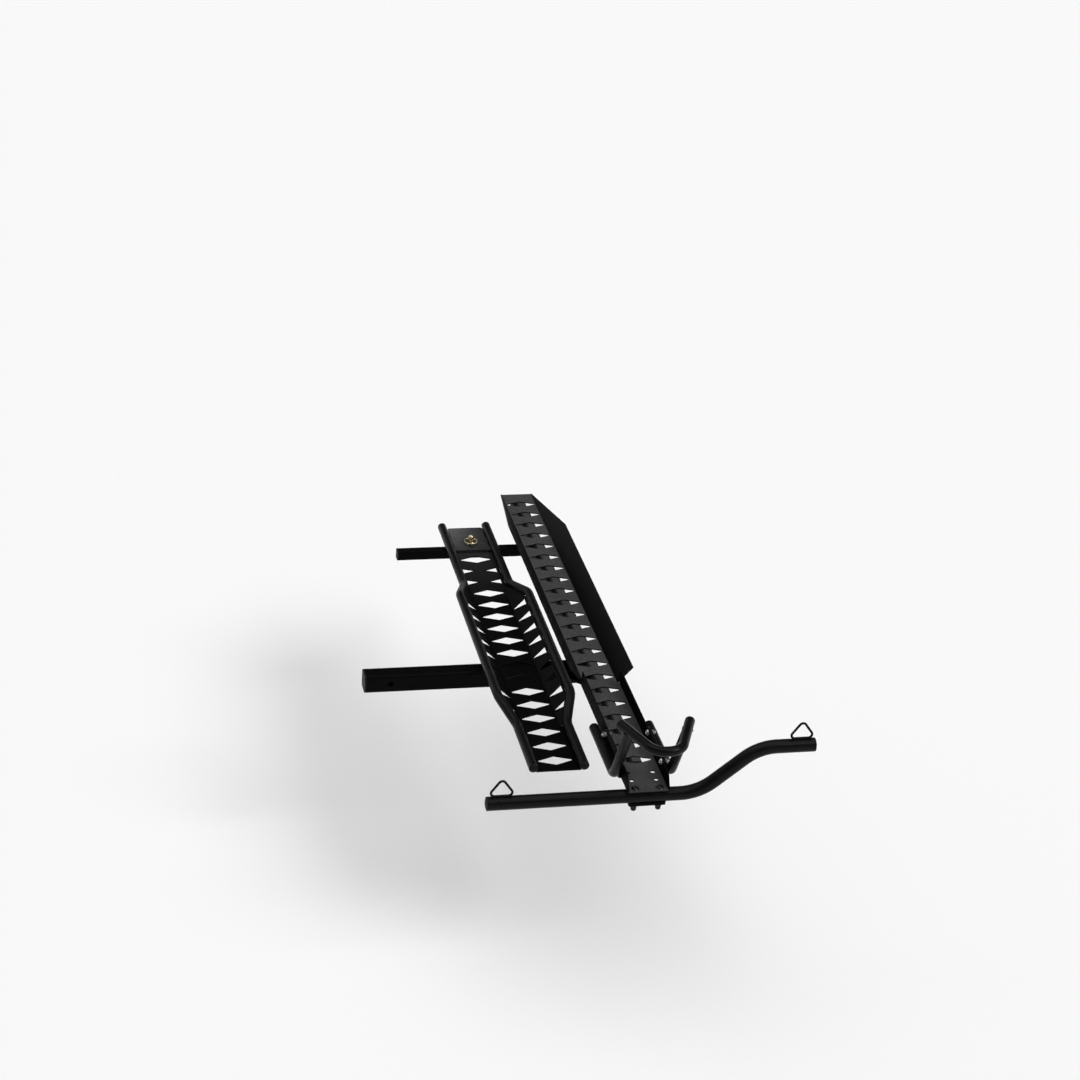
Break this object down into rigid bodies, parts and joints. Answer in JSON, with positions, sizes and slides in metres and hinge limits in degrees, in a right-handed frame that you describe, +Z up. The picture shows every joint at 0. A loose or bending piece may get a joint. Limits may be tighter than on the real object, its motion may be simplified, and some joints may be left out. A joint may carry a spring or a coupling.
{
  "type": "hitch motorcycle carrier",
  "caption": "Hitch carrier for a motorcycle: a wheel track on a square hitch arm, with wheel chock, tie-down bar and a loading ramp stowed beside the track.",
  "frame": {"origin": "middle of the hitch-pin hole in the shank, on the hitch arm's centreline", "axes": "+X along the hitch arm away from the vehicle, +Y along the wheel track from the chock to the loading end, +Z up"},
  "size_m": [1.0285, 1.8035, 0.2682],
  "materials": {
    "black_steel": "satin powder coat",
    "black_plastic": "moulded",
    "zinc_steel": "bright zinc plated",
    "yellow_zinc": "yellow zinc plated"
  },
  "bodies": {
    "carrier": {"hitch_arm": "black_steel", "hitch_arm_cap": "black_plastic", "arm_gussets": "black_steel", "track_spine": "black_steel", "spine_caps": "black_plastic", "rear_floor": "black_steel", "rear_wall_left": "black_steel", "rear_wall_right": "black_steel", "front_floor": "black_steel", "front_wall_left": "black_steel", "front_wall_right": "black_steel", "tie_bar": "black_steel", "tie_bar_caps": "black_plastic", "tie_loop_left": "black_steel", "tie_loop_right": "black_steel", "bar_saddle": "black_steel", "bar_bolts": "black_steel", "bar_nuts": "black_steel", "chock_side_left": "black_steel", "chock_side_right": "black_steel", "chock_hoop": "black_steel", "chock_caps": "black_plastic", "chock_lug_left": "black_steel", "chock_lug_right": "black_steel", "chock_bolts": "zinc_steel", "chock_nuts": "zinc_steel", "ramp_arm": "black_steel", "ramp_arm_cap": "black_plastic", "ramp_stud": "yellow_zinc"},
    "ramp": {"ramp_deck": "black_steel", "ramp_tab": "black_steel", "ramp_wing_left": "black_steel", "ramp_wing_right": "black_steel", "ramp_rail_left": "black_steel", "ramp_rail_right": "black_steel", "ramp_rail_caps": "black_plastic"},
    "pin": {"linch_pin": "yellow_zinc"},
    "ring": {"linch_ring": "yellow_zinc"}
  },
  "joints": [
    {"name": "ramp_lift", "type": "slide", "parent": "carrier", "child": "ramp", "axis": [0, 0, 1], "range_m": [0, 0.0025]},
    {"name": "pin_pull", "type": "slide", "parent": "carrier", "child": "pin", "axis": [0, -1, 0], "range_m": [0, 0.008]},
    {"name": "ring_flip", "type": "hinge", "parent": "pin", "child": "ring", "pos_m": [0.34, 0.671, 0.0458], "axis": [1, 0, 0], "range_deg": [0, 170]}
  ]
}
